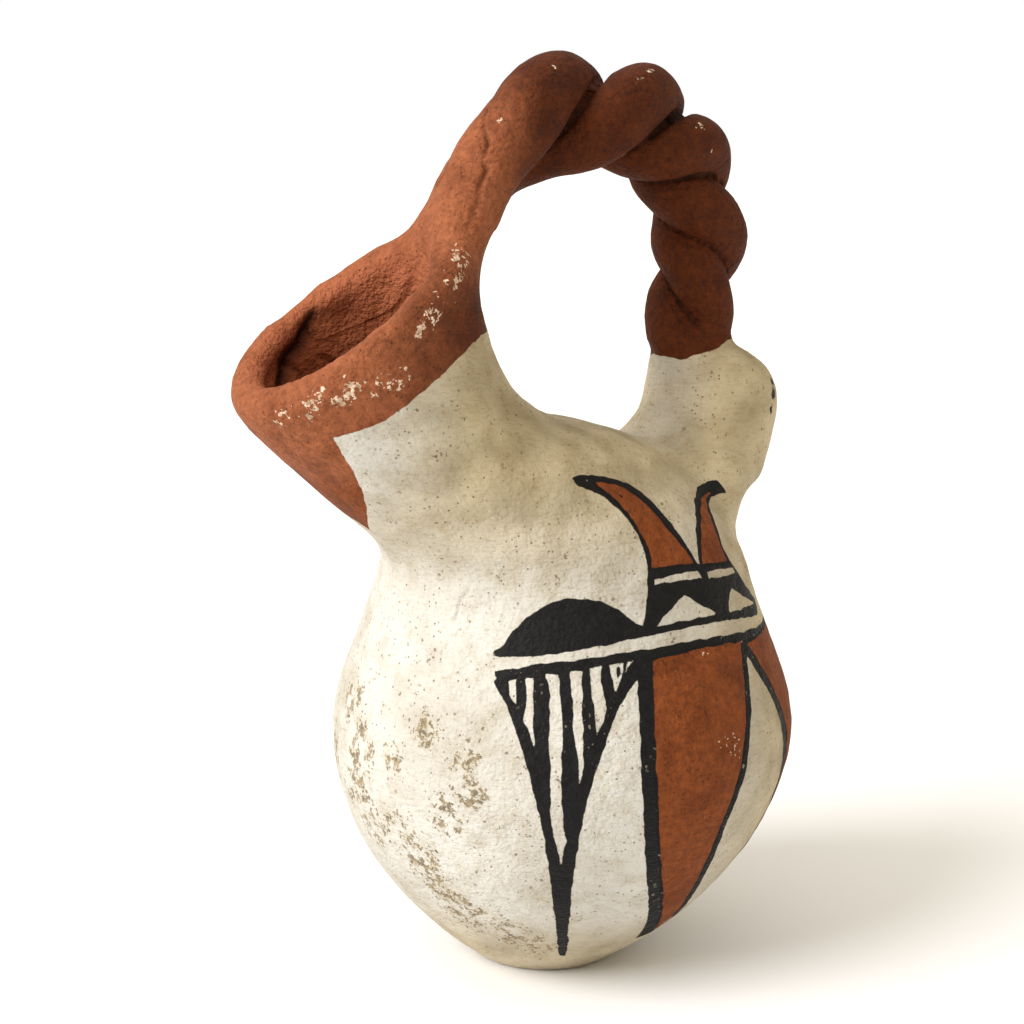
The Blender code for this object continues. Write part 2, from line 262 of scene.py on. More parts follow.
NEAR_CURVE = [
    *PANEL_RIGHT, (-77.0, 9.0), (-74.0, 9.0), (-77.8, 15.2), (-80.2, 19.3), (-81.8, 23.8), (-82.5, 28.1),
    (-82.3, 31.7), (-81.3, 35.1), (-79.9, 38.3), (-78.5, 41.2), (-77.1, 44.0), (-75.7, 46.9),
    (-74.0, 49.9), (-72.2, 52.5), (-70.6, 54.9), (-69.2, 57.3), (-68.1, 59.8), (-66.9, 60.5),
    (-65.6, 62.3),
]
FAR_CURVE = [
    (-68.5, 63.2), (-67.6, 60.6), (-66.9, 60.1), (-65.0, 58.1), (-62.6, 55.4), (-60.4, 52.5),
    (-58.6, 49.7), (-57.4, 46.9), (-56.6, 44.6), (-56.2, 42.0), (-56.0, 38.0), (-56.5, 33.0),
    (-58.0, 27.0), (-60.0, 21.0), (-62.0, 15.0), (-60.0, 15.0), *FAR_PANEL_LEFT, (-64.4, 61.7),
    (-65.6, 62.8),
]
FAR_PANEL = [
    (-64.5, 62.4), (-51.9, 62.4), (-31.5, 62.4), (-30.5, 55.0), (-30.0, 46.0), (-31.0, 37.0),
    (-33.5, 28.0), (-38.0, 20.0), (-46.0, 13.0), (-54.0, 14.0), *FAR_PANEL_LEFT,
]
TRIANGLE = [
    (-144.3, 60.5), (-142.8, 59.1), (-140.4, 57.0), (-138.0, 54.0), (-136.0, 50.4), (-134.2, 46.5),
    (-132.7, 42.5), (-131.4, 38.3), (-130.4, 33.8), (-129.6, 28.6), (-128.9, 23.0), (-128.3, 17.2),
    (-127.8, 11.6), (-127.5, 6.9), (-126.9, 6.1), (-124.4, 6.1), (-124.0, 8.9), (-124.0, 15.5),
    (-123.8, 22.0), (-123.3, 28.6), (-122.6, 33.8), (-121.8, 37.6), (-120.6, 41.9), (-119.2, 45.3),
    (-117.8, 48.2), (-116.2, 51.4), (-114.1, 54.5), (-112.2, 56.9), (-109.9, 58.9), (-106.9, 60.7),
    (-105.7, 63.8), (-116.6, 64.2), (-132.3, 62.9), (-141.4, 61.7),
]
STRIPES = [
    [(-140.2, 60.8), (-138.3, 61.0), (-137.8, 57.0), (-139.6, 58.6)],
    [
        (-135.9, 61.3), (-133.7, 61.5), (-133.6, 58.6), (-133.4, 55.5), (-133.0, 52.3), (-132.6, 49.8),
        (-133.5, 51.4), (-134.8, 53.6), (-135.8, 54.6), (-135.4, 56.4), (-135.3, 58.5),
    ],
    [
        (-130.7, 62.0), (-127.3, 62.1), (-127.1, 59.3), (-126.6, 56.8), (-126.4, 52.5), (-126.6, 48.0),
        (-126.6, 44.0), (-126.3, 39.8), (-126.1, 37.0), (-125.4, 34.5), (-126.6, 29.7), (-127.5, 33.1),
        (-128.4, 36.5), (-129.0, 40.1), (-128.8, 43.3), (-129.1, 47.3), (-129.4, 51.1), (-129.4, 54.9),
        (-129.4, 58.6), (-130.1, 60.8),
    ],
    [
        (-124.6, 62.5), (-121.4, 62.5), (-121.6, 59.3), (-121.5, 55.5), (-121.6, 51.8), (-121.4, 47.3),
        (-122.5, 44.7), (-122.8, 48.0), (-123.4, 51.8), (-123.8, 54.3), (-123.9, 58.1),
    ],
    [
        (-119.6, 63.0), (-116.4, 63.2), (-116.7, 61.1), (-116.3, 58.6), (-115.6, 56.4), (-117.0, 54.2),
        (-118.4, 52.5), (-118.5, 54.9), (-118.9, 58.0), (-119.2, 60.5),
    ],
    [(-114.1, 63.3), (-110.2, 63.6), (-110.7, 62.1), (-111.7, 60.9), (-113.2, 59.0), (-113.5, 61.0)],
    [(-109.3, 63.6), (-107.1, 63.8), (-110.2, 61.9)],
]
OVAL = [(-111.9, 63.3), (-111.3, 62.6), (-111.4, 61.7), (-112.2, 61.1), (-112.6, 61.7), (-112.5, 62.7)]
# The far half of the figure repeats the near one across this line. Past the second angle it is squeezed, so
# that its third angle comes to the fourth, just short of the chest's middle
MIRROR_LINE, SQUEEZED_FROM, FIGURE_END, MEETING = -67.0, -102.0, -145.0, -2.0
# Millimetres either side of a painted edge that are measured, and how far red was laid under black
PAINT_REACH, RED_UNDER = 2.5, 0.6

# The red of the spout ends so far along the spout's axis: degrees round from its front, and millimetres
SPOUT_START, SPOUT_ALONG, SPOUT_UP = (-0.7, 0.0, 76.45), (-0.698, 0.0, 0.716), (0.716, 0.0, 0.698)
SPOUT_EDGE = [
    (0, 44.0), (38, 45.1), (69, 49.5), (91, 51.3), (107, 52.3), (121, 53.4), (130, 54.0), (148.5, 56.6),
    (150.4, 52.8), (152.8, 49.3), (156.8, 44.9), (164.4, 39.8), (180, 33.2),
]
# The red of the handle ends on the head: degrees round from the front of its root, and height
HANDLE_ROOT = (29.0, 0.0)
HANDLE_EDGE = [
    (0, 112.5), (60, 112.2), (90, 110.7), (110, 110.0), (125, 109.6), (140, 109.0), (160, 109.4),
    (180, 109.6),
]

# Dabs of dark paint at the eyes, and stray specks of it: x, y, z and reach
EYES = [
    (42.2, -9.2, 104.1, 0.9), (41.6, -10.2, 101.8, 1.0), (41.2, -10.6, 101.5, 0.8), (40.5, -11.1, 98.9, 0.9),
]
SPECKS = [
    (-31.0, -21.4, 60.6, 0.5), (-30.3, -22.2, 60.2, 0.35), (-5.6, -24.7, 89.6, 0.6),
    (-6.4, -24.4, 90.3, 0.4), (-37.2, -14.3, 29.5, 0.45), (-36.9, -14.9, 29.2, 0.35),
]

# Where red paint has chipped to the slip: x, y, z and reach
CHIPS = [
    (-61.3, -8.3, 105.7, 1.5), (-59.5, -11.6, 107.5, 1.7), (-58.2, -13.0, 108.4, 1.6),
    (-57.2, -14.0, 109.2, 1.7), (-55.8, -15.1, 109.7, 1.6), (-54.6, -15.9, 110.0, 2.0),
    (-53.2, -16.5, 110.4, 1.6), (-52.2, -17.0, 110.7, 1.8), (-49.5, -18.0, 111.0, 1.8),
    (-46.2, -18.8, 112.1, 1.6), (-41.4, -19.3, 119.5, 1.8), (-40.0, -19.2, 121.8, 1.7),
    (-38.5, -18.8, 124.1, 1.5), (-34.4, -16.9, 127.7, 1.8), (-32.8, -16.0, 129.0, 2.0),
    (-31.2, -15.0, 130.4, 2.0), (-30.2, -13.9, 131.1, 1.8), (-28.0, -12.6, 134.2, 1.5),
    (-7.6, -5.8, 160.3, 1.0), (9.6, -8.9, 159.5, 0.9), (13.8, -7.8, 160.6, 1.1), (23.4, -8.9, 151.5, 1.0),
    (25.8, -10.3, 147.1, 1.1), (-19.3, -7.9, 152.3, 0.8), (4.8, -41.0, 49.6, 1.2),
    (6.2, -41.3, 46.8, 1.3), (3.1, -41.5, 48.3, 0.8), (3.4, -36.5, 63.4, 0.8), (-55.0, 14.0, 110.0, 2.0),
    (-40.0, 19.0, 121.0, 2.0), (12.0, 9.0, 159.0, 1.2), (28.0, 9.0, 143.0, 1.2),
]
# Where the slip stays white near the head, on its back that faces the light and takes no painted shade: x, y,
# z, reach
PALE = [(19.5, 0.0, 108.0, 8.5), (17.0, -3.0, 101.0, 8.0)]
# Where the slip has worn to a rough ochre: x, y, z, reach
WORN = [
    (-41.9, 2.1, 46.0, 3.0), (-42.0, 3.2, 41.0, 3.2), (-41.5, 4.5, 36.1, 3.8), (-40.5, 1.4, 31.3, 3.6),
    (-41.2, -7.8, 44.9, 2.0), (-38.2, -14.2, 51.3, 2.6), (-35.8, -21.2, 47.5, 2.2),
    (-35.6, -22.4, 42.5, 2.6), (-37.8, -18.1, 37.3, 2.8), (-37.8, -10.0, 26.8, 3.4),
    (-35.6, -11.0, 22.6, 3.2), (-32.9, -11.9, 19.0, 3.6), (-30.2, -14.0, 16.6, 3.4),
    (-27.4, -16.2, 14.5, 3.6), (-23.8, -17.6, 12.0, 3.4), (-20.4, -18.4, 9.9, 3.4),
    (-40.0, -7.2, 31.9, 3.2), (-40.0, 7.6, 51.6, 3.0), (-30.0, 24.0, 26.0, 4.5), (8.0, 26.0, 12.0, 4.5),
    (20.0, -14.0, 10.0, 3.0), (-38.0, 18.0, 40.0, 4.0),
]


# Shapes

def spline(rows, steps):
    """Points on a Catmull-Rom spline through rows of numbers, with so many steps a span."""
    rows = np.array(rows, float)
    last = len(rows) - 1
    made = []
    for i in range(last):
        a, b, c, d = rows[max(i - 1, 0)], rows[i], rows[i + 1], rows[min(i + 2, last)]
        for t in np.arange(steps) / steps:
            bend = (2 * a - 5 * b + 4 * c - d) * t * t
            made.append(b + ((c - a) * t + bend + (3 * b - a - 3 * c + d) * t**3) / 2)
    return np.array(made + [rows[last]])


def body_sections(steps):
    rows = []
    for up, grown in BOWL:
        radius = FOOT_RADIUS + (BELLY_RADIUS - FOOT_RADIUS) * grown
        shift = -FOOT_SHIFT * (1 - up) ** 1.3
        rows.append((shift - radius, BELLY_HEIGHT * up, shift + radius, BELLY_HEIGHT * up, radius))
    for up, width in SHOULDER:
        height = BELLY_HEIGHT + (SPOUT[0][1] - BELLY_HEIGHT) * up
        rows.append((-BELLY_RADIUS * width, height, BELLY_RADIUS * width, height, BELLY_RADIUS * width))
    return spline(rows + SPOUT, steps)


def ring(section, sides, turn=0.5, insets=(0, 0, 0), raised=0.0):
    back = np.array([section[0], 0, section[1]])
    front = np.array([section[2], 0, section[3]])
    forward = (front - back) / np.linalg.norm(front - back)
    normal = np.array([-forward[2], 0, forward[0]])
    back = back + forward * insets[0] + normal * raised
    front = front - forward * insets[1] + normal * raised
    angle = (2 * np.pi * (np.arange(sides) + turn) / sides)[:, None]
    across = np.array([0, section[4] - insets[2], 0])
    return (back + front) / 2 + (front - back) / 2 * np.cos(angle) + across * np.sin(angle)


def loft(name, rings):
    """A closed mesh object through rings of equal count, with flat ends."""
    sides = len(rings[0])
    points = np.concatenate(rings)
    faces = [tuple(range(sides))[::-1], tuple(range(len(points) - sides, len(points)))]
    for i in range(len(rings) - 1):
        for j in range(sides):
            k = (j + 1) % sides
            faces.append((i * sides + j, i * sides + k, (i + 1) * sides + k, (i + 1) * sides + j))
    mesh = bpy.data.meshes.new(name)
    mesh.from_pydata((points * MM).tolist(), [], faces)
    mesh.update()
    made = bpy.data.objects.new(name, mesh)
    bpy.context.scene.collection.objects.link(made)
    return made


def body(steps=6, sides=120):
    sections = body_sections(steps)
    rings = [ring(section, sides) for section in sections]
    for share, raised in ((0.1, 0.38), (0.28, 0.68), (0.55, 0.9), (0.88, 1.0)):
        rings.append(ring(sections[-1], sides, 0.5, (share * RIM_ROUNDING,) * 3, raised * RIM_ROUNDING))
    return loft("body", rings)


def cavity(steps=5, sides=96):
    sections = body_sections(steps)
    root, saddle = sections[-1][3], SPOUT[3][3]
    rings = []
    for section in sections[:-1]:
        lift = FLOOR * (1 - min(section[1] / BELLY_HEIGHT, 1))
        lifted = section + np.array([0, lift, 0, lift, 0])
        share = np.clip((section[3] - saddle) / (root - saddle), 0, 1)
        rings.append(ring(lifted, sides, 0.5, (WALL, WALL + (ROOT_WALL - WALL) * share, WALL)))
    for share, raised in ((0.56, -0.4), (0.45, 0.1), (0.32, 0.5), (0.05, 0.85), (-0.3, 1.04), (-0.44, 3.2)):
        thicker = share * RIM_ROUNDING
        insets = WALL + thicker, ROOT_WALL + thicker, WALL + thicker
        rings.append(ring(sections[-1], sides, 0.5, insets, raised * RIM_ROUNDING))
    return loft("cavity", rings)


def head():
    return loft("head", [ring(section, 80, 0.25) for section in spline(HEAD, 6)])


def head_cavity():
    sections = spline(HEAD, 4)[:-8]
    return loft("head_cavity", [ring(section, 40, 0.25, (HEAD_WALL,) * 3) for section in sections])


def web():
    return loft("web", [ring(section, 40, 0.4) for section in spline(WEB, 5)])


def scoop():
    return loft("scoop", [ring(section, 64) for section in spline(SCOOP, 5)])


def rope_line(start, step=1.0):
    """Evenly spaced centres of one rope and its radius at each."""
    rows = spline([(x, z, turns, away * ROPE_RADIUS, thick) for x, z, turns, away, thick in ARCH], 30)
    lengths = np.concatenate([[0], np.cumsum(np.hypot(*np.diff(rows[:, :2], axis=0).T))])
    wanted = np.linspace(0, lengths[-1], round(lengths[-1] / step) + 1)
    rows = np.stack([np.interp(wanted, lengths, column) for column in rows.T], 1)
    along = np.gradient(rows[:, :2], axis=0)
    along /= np.linalg.norm(along, axis=1)[:, None]
    angle = 2 * np.pi * (rows[:, 2] + start)
    outward = np.stack([-along[:, 1], 0 * angle, along[:, 0]], 1)
    side = np.array([0.0, -1.0, 0.0])
    middle = np.stack([rows[:, 0], 0 * angle, rows[:, 1]], 1)
    offset = (outward * np.cos(angle)[:, None] + side * np.sin(angle)[:, None]) * rows[:, 3:4]
    return middle + offset, rows[:, 4] * ROPE_RADIUS


def rope(name, start, sides=28):
    centres, radii = rope_line(start)
    along = np.gradient(centres, axis=0)
    along /= np.linalg.norm(along, axis=1)[:, None]
    first = np.cross(along, (0.0, 1.0, 0.0))
    first /= np.linalg.norm(first, axis=1)[:, None]
    second = np.cross(along, first)
    rings = []
    for centre, radius, a, b in zip(centres, radii, first, second):
        angle = (2 * np.pi * np.arange(sides) / sides)[:, None]
        rings.append(centre + radius * (a * np.cos(angle) + b * np.sin(angle)))
    return loft(name, rings)


def joined(target, shapes, hollows):
    """The evaluated mesh of the target with shapes added, hollows cut away and the whole remeshed evenly."""
    for operation, group in (("UNION", shapes), ("DIFFERENCE", hollows)):
        for shape in group:
            cut = target.modifiers.new(shape.name, "BOOLEAN")
            cut.operation = operation
            cut.object = shape
            cut.solver = "MANIFOLD"
    even = target.modifiers.new("even", "REMESH")
    even.mode = "VOXEL"
    even.voxel_size = VOXEL * MM
    evaluated = target.evaluated_get(bpy.context.evaluated_depsgraph_get())
    return bpy.data.meshes.new_from_object(evaluated)


def tree_of(shape):
    mesh = shape.data
    points = [vertex.co[:] for vertex in mesh.vertices]
    return BVHTree.FromPolygons(points, [polygon.vertices[:] for polygon in mesh.polygons])


def gap_to(tree, points):
    """The distance in millimetres from each point to a surface."""
    return np.array([tree.find_nearest(Vector(point))[3] for point in points * MM]) / MM


def gap_to_rope(points, centres, radii):
    """The signed distance from each point to a rope's skin, and the way out of it."""
    best = np.full(len(points), 1e9)
    out = np.zeros_like(points)
    for a, b, ra, rb in zip(centres[:-1], centres[1:], radii[:-1], radii[1:]):
        span = b - a
        share = np.clip((points - a) @ span / (span @ span), 0, 1)
        away = points - (a + share[:, None] * span)
        length = np.linalg.norm(away, axis=1)
        gap = length - (ra + (rb - ra) * share)
        closer = gap < best
        best[closer] = gap[closer]
        out[closer] = away[closer] / np.maximum(length[closer], 1e-6)[:, None]
    return best, out


# Mesh arrays

def arrays(mesh):
    points = np.empty(len(mesh.vertices) * 3)
    mesh.vertices.foreach_get("co", points)
    mesh.calc_loop_triangles()
    faces = np.empty(len(mesh.loop_triangles) * 3, np.int64)
    mesh.loop_triangles.foreach_get("vertices", faces)
    return points.reshape(-1, 3) / MM, faces.reshape(-1, 3)


class Smoother:
    """Moves each point towards the mean of its neighbours."""

    def __init__(self, faces, count):
        edges = np.concatenate([faces[:, [0, 1]], faces[:, [1, 2]], faces[:, [2, 0]]])
        edges = np.unique(np.sort(edges, axis=1), axis=0)
        both = np.concatenate([edges, edges[:, ::-1]])
        both = both[np.argsort(both[:, 0], kind="stable")]
        self.towards = both[:, 1]
        self.starts = np.searchsorted(both[:, 0], np.arange(count))
        self.counts = np.diff(np.append(self.starts, len(both)))

    def mean(self, values):
        return np.add.reduceat(values[self.towards], self.starts, axis=0) / self.counts[:, None]

    def relax(self, points, weight, times):
        for _ in range(times):
            points = points + (self.mean(points) - points) * weight
        return points


def vertex_normals(points, faces):
    a, b, c = (points[faces[:, i]] for i in range(3))
    flat = np.cross(b - a, c - a)
    normals = np.zeros_like(points)
    for i in range(3):
        for axis in range(3):
            normals[:, axis] += np.bincount(faces[:, i], flat[:, axis], len(points))
    return normals / np.linalg.norm(normals, axis=1)[:, None]


def split_edges(values, faces, wanted):
    """Splits the triangles at the middle of each wanted edge, and the values at the points with them."""
    corners = np.stack([faces, np.roll(faces, -1, axis=1)], 2).reshape(-1, 2)
    edges, which = np.unique(np.sort(corners, axis=1), axis=0, return_inverse=True)
    a, b = edges.T
    chosen = wanted(a, b, np.linalg.norm(values[0][a] - values[0][b], axis=1))
    middle = np.full(len(edges), -1)
    middle[chosen] = len(values[0]) + np.arange(chosen.sum())
    a, b = edges[chosen].T
    values = tuple(np.concatenate([value, (value[a] + value[b]) / 2]) for value in values)
    mids = middle[which.reshape(-1, 3)]
    made = [faces[(mids < 0).all(1)]]
    for turn in range(3):
        f, m = np.roll(faces, -turn, axis=1), np.roll(mids, -turn, axis=1)
        one = (m[:, 0] >= 0) & (m[:, 1] < 0) & (m[:, 2] < 0)
        made.append(np.stack([f[one, 0], m[one, 0], f[one, 2]], 1))
        made.append(np.stack([m[one, 0], f[one, 1], f[one, 2]], 1))
        two = (m[:, 0] >= 0) & (m[:, 1] >= 0) & (m[:, 2] < 0)
        made.append(np.stack([f[two, 0], m[two, 0], f[two, 2]], 1))
        made.append(np.stack([m[two, 0], m[two, 1], f[two, 2]], 1))
        made.append(np.stack([m[two, 0], f[two, 1], m[two, 1]], 1))
    full = (mids >= 0).all(1)
    f, m = faces[full], mids[full]
    made.append(m)
    for i in range(3):
        made.append(np.stack([f[:, i], m[:, i], m[:, i - 1]], 1))
    return values, np.concatenate(made)


def ripple(points, size, seed):
    """Smooth noise of about -1 to 1 with lumps of a size in millimetres."""
    shift = Vector((seed * 17.3, seed * 7.1, seed * 3.7))
    return np.array([noise.noise(Vector(point) / size + shift) for point in points])


def gap_to_point(points, place):
    return np.linalg.norm(points - np.array(place), axis=1)


def gap_to_line(points, line):
    """The distance from each point to a line through a few points."""
    best = np.full(len(points), 1e9)
    line = np.array(line)
    for a, b in zip(line[:-1], line[1:]):
        span = b - a
        share = np.clip((points - a) @ span / max(span @ span, 1e-9), 0, 1)
        best = np.minimum(best, ((points - (a + share[:, None] * span)) ** 2).sum(1))
    return np.sqrt(best)


# Painted outlines

class Outline:
    """A closed outline on the pot's outer skin, and the distance of points inside it from its edge."""

    def __init__(self, rows, skin):
        rows = np.array(rows, float)
        ends = np.roll(rows, -1, axis=0)
        dense = []
        for a, b in zip(rows, ends):
            length = math.hypot((b[0] - a[0]) * 0.6, b[1] - a[1])
            steps = max(1, math.ceil(length / 0.8))
            dense.extend(a + (b - a) * step / steps for step in range(steps))
        self.flat = np.array(dense)
        self.solid = np.array([skin(*row) for row in dense])

    def inside(self, angles, heights):
        x0, z0 = self.flat.T
        x1, z1 = np.roll(self.flat, -1, axis=0).T
        odd = np.zeros(len(angles), bool)
        for a, b, c, d in zip(x0, z0, x1, z1):
            if b != d:
                crosses = (b > heights) != (d > heights)
                odd ^= crosses & (angles < a + (heights - b) * (c - a) / (d - b))
        return odd

    def depth(self, points):
        """Millimetres inside the edge, or less than nothing outside it, up to the paint's reach."""
        angles = np.degrees(np.arctan2(points[:, 1], points[:, 0]))
        found = np.full(len(points), -PAINT_REACH)
        low, high = self.solid.min(0) - PAINT_REACH, self.solid.max(0) + PAINT_REACH
        near = np.flatnonzero(((points > low) & (points < high)).all(1))
        gap = gap_to_line(points[near], np.concatenate([self.solid, self.solid[:1]]))
        inner = self.inside(angles[near], points[near, 2])
        found[near] = np.clip(np.where(inner, gap, -gap), -PAINT_REACH, PAINT_REACH)
        return found


def mirrored(rows):
    """The outline on the other side of the mirror line, kept off the chest's middle."""
    first, last = 2 * MIRROR_LINE - SQUEEZED_FROM, 2 * MIRROR_LINE - FIGURE_END
    made = []
    for angle, height in rows:
        angle = 2 * MIRROR_LINE - angle
        if angle > first:
            angle = first + (angle - first) * (MEETING - first) / (last - first)
        made.append((angle, height))
    return made


def painted(skin):
    """The painted outlines in the order they were laid: colour and outline."""
    rows = [
        ("black", DOME), ("black", BLOCK), ("black", LEFT_HORN), ("black", RIGHT_HORN), ("black", BAND_LINE),
        ("black", TRIANGLE), ("cream", LEFT_STRIP), ("cream", RIGHT_STRIP), ("cream", LEFT_POINT),
        ("cream", RIGHT_POINT), ("red", LEFT_HORN_RED), ("red", RIGHT_HORN_RED), ("red", PANEL),
        ("red", FAR_PANEL), ("black", COLUMN), ("black", NEAR_CURVE), ("black", FAR_CURVE),
    ]
    stripes = [("cream", stripe) for stripe in STRIPES]
    far_band = [(-106.0, 65.4), (-144.0, 62.6), (-144.0, 61.2), (-106.0, 63.2)]
    again = [("black", DOME), ("black", TRIANGLE), ("black", COLUMN)] + stripes + [("black", far_band)]
    rows += stripes + [("black", OVAL)] + [(colour, mirrored(outline)) for colour, outline in again]
    made = []
    for colour, outline in rows:
        for side in (1, -1):
            made.append((colour, Outline([(angle * side, height) for angle, height in outline], skin)))
    return made


def edge_at(table, angles):
    rows = np.array(table, float)
    return np.interp(np.abs(angles), rows[:, 0], rows[:, 1])


def red_ground(points):
    """Millimetres inside the red of the spout and the handle."""
    away = points - np.array(SPOUT_START)
    along, up, side = away @ np.array(SPOUT_ALONG), away @ np.array(SPOUT_UP), away[:, 1]
    angles = np.degrees(np.arctan2(side, up))
    turned = np.abs(angles)
    steep = (edge_at(SPOUT_EDGE, turned + 1) - edge_at(SPOUT_EDGE, turned - 1)) / math.radians(2)
    steep /= np.maximum(np.hypot(up, side), 4)
    spout = (along - edge_at(SPOUT_EDGE, angles)) / np.sqrt(1 + steep**2)
    round_root = np.degrees(np.arctan2(points[:, 1], points[:, 0] - HANDLE_ROOT[0]))
    handle = points[:, 2] - edge_at(HANDLE_EDGE, round_root)
    handle = np.where(points[:, 0] > 8, handle, -9)
    return np.clip(np.maximum(spout, handle), -PAINT_REACH, PAINT_REACH)


def paint(points, outlines, within):
    """Millimetres inside the red and the black paint at each point."""
    black = np.full(len(points), -PAINT_REACH)
    red = black
    for colour, outline in outlines:
        depth = outline.depth(points)
        if colour == "black":
            black = np.maximum(black, depth)
            continue
        black = np.minimum(black, -depth)
        if colour == "cream":
            red = np.minimum(red, -depth)
        else:
            red = np.maximum(red, np.clip(depth + RED_UNDER, -PAINT_REACH, PAINT_REACH))
    return np.maximum(np.maximum(red, red_ground(points)), (within - 0.5) * 2 * PAINT_REACH), black


def step(values, low, high):
    share = np.clip((values - low) / (high - low), 0, 1)
    return share * share * (3 - 2 * share)


def yellowing_and_shade(points):
    """How far the slip turns a darker yellow towards the head, the saddle, the chest and the foot:
    partly its own warmer tone and partly painted shade on the sides away from the light.
    """
    x, _, z = points.T
    warm = np.maximum(step(x, -8, 26), step(z, 70, 96) * step(x, -54, -30))
    warm = np.maximum(warm, 0.8 * step(z, 20, 5))
    return warm * (1 - blots(points, PALE))


def blots(points, rows):
    """A soft measure, 0 to 1, of how near points lie to any of the spots."""
    best = np.zeros(len(points))
    for x, y, z, reach in rows:
        best = np.maximum(best, np.clip(1 - gap_to_point(points, (x, y, z)) / (reach * 1.6), 0, 1))
    return best


# The pot

def on_ropes(points, held, lines):
    """Points near the ropes' skin moved onto it."""
    gaps = [gap_to_rope(points, *line) for line in lines]
    moved = points.copy()
    for (gap, out), (other, _) in (gaps, gaps[::-1]):
        mine = held * ((np.abs(gap) < 1.5) & (gap <= other))
        moved -= out * (gap * mine)[:, None]
    return moved


def rope_crease(points, held, lines):
    """The distance from each point to where the ropes meet."""
    gaps = [np.abs(gap_to_rope(points, *line)[0]) for line in lines]
    return np.where(held > 0.3, np.maximum(*gaps), 9.0)


def lighter(points, faces, inner):
    """The mesh with fewer triangles on its inner skin."""
    shape = show("dense", points, faces)
    group = shape.vertex_groups.new(name="inner")
    group.add(np.flatnonzero(inner > 0.99).tolist(), 1.0, "REPLACE")
    fewer = shape.modifiers.new("fewer", "DECIMATE")
    fewer.ratio = 1 - (1 - INNER_SHARE) * (inner > 0.99).mean()
    fewer.vertex_group = "inner"
    evaluated = shape.evaluated_get(bpy.context.evaluated_depsgraph_get())
    found = arrays(bpy.data.meshes.new_from_object(evaluated))
    bpy.data.objects.remove(shape)
    return found


def smeared(points, smoother, lines, to_rope, to_body, to_head):
    """The points smoothed where joints were smeared, and how far each stays on a rope's round skin."""
    for _ in range(3):
        points = smoother.relax(points, 0.5, 1)
        points = smoother.relax(points, -0.52, 1)
    neck = np.clip(1.15 - np.maximum(to_body, to_head) / 6, 0, 1)
    root = np.clip(1.1 - np.maximum(to_rope, to_body) / 5, 0, 1)
    poll = np.clip(1.1 - np.maximum(to_rope, to_head) / 2.5, 0, 1)
    above = (points - np.array(SPOUT_START)) @ np.array(SPOUT_UP)
    front = (above > 6) & (points[:, 2] > 112) & (to_rope > 1) & (points[:, 0] < -24)
    mouth = smoother.relax(front.astype(float)[:, None], 1.0, 3)[:, 0]
    soft = np.maximum(np.maximum(neck, root), np.maximum(poll, mouth))
    points = smoother.relax(points, 0.6 * soft[:, None], 35)
    held = 1 - np.clip(soft + np.clip((6 - to_body) / 3, 0, 1) + np.clip((3 - to_head) / 2, 0, 1), 0, 1)
    return on_ropes(points, held, lines), held


def relief(points, held, inner, near, deep):
    """How far the clay stands out at each point: ripples, dents, cuts, ridges and the ropes' creases."""
    swell = 0.3 * ripple(points, 19, 1) + 0.17 * ripple(points, 8, 2) + 0.07 * ripple(points, 3.6, 3)
    swell += inner * (0.5 * ripple(points, 6, 4) + 0.25 * ripple(points, 2.8, 5))
    for x, y, z, reach, height in DENTS:
        swell += height * np.exp(-((gap_to_point(points, (x, y, z)) / reach) ** 2) * 1.5)
    swell += 0.1 * ripple(points * np.array([1, 1, 2.2]), 4.5, 6) + 0.05 * ripple(points, 2.4, 7)
    for width, depth, line in GROOVES:
        swell -= depth * np.exp(-((gap_to_line(points, line) / width) ** 2))
    for width, raised, line in RIDGES:
        swell += raised * np.exp(-((gap_to_line(points, line) / width) ** 2))
    swell -= held * (0.45 + 0.9 * deep) * np.exp(-((near / (0.5 + 0.5 * deep)) ** 2))
    return swell * np.clip((points[:, 2] - 0.5) / 6, 0, 1)


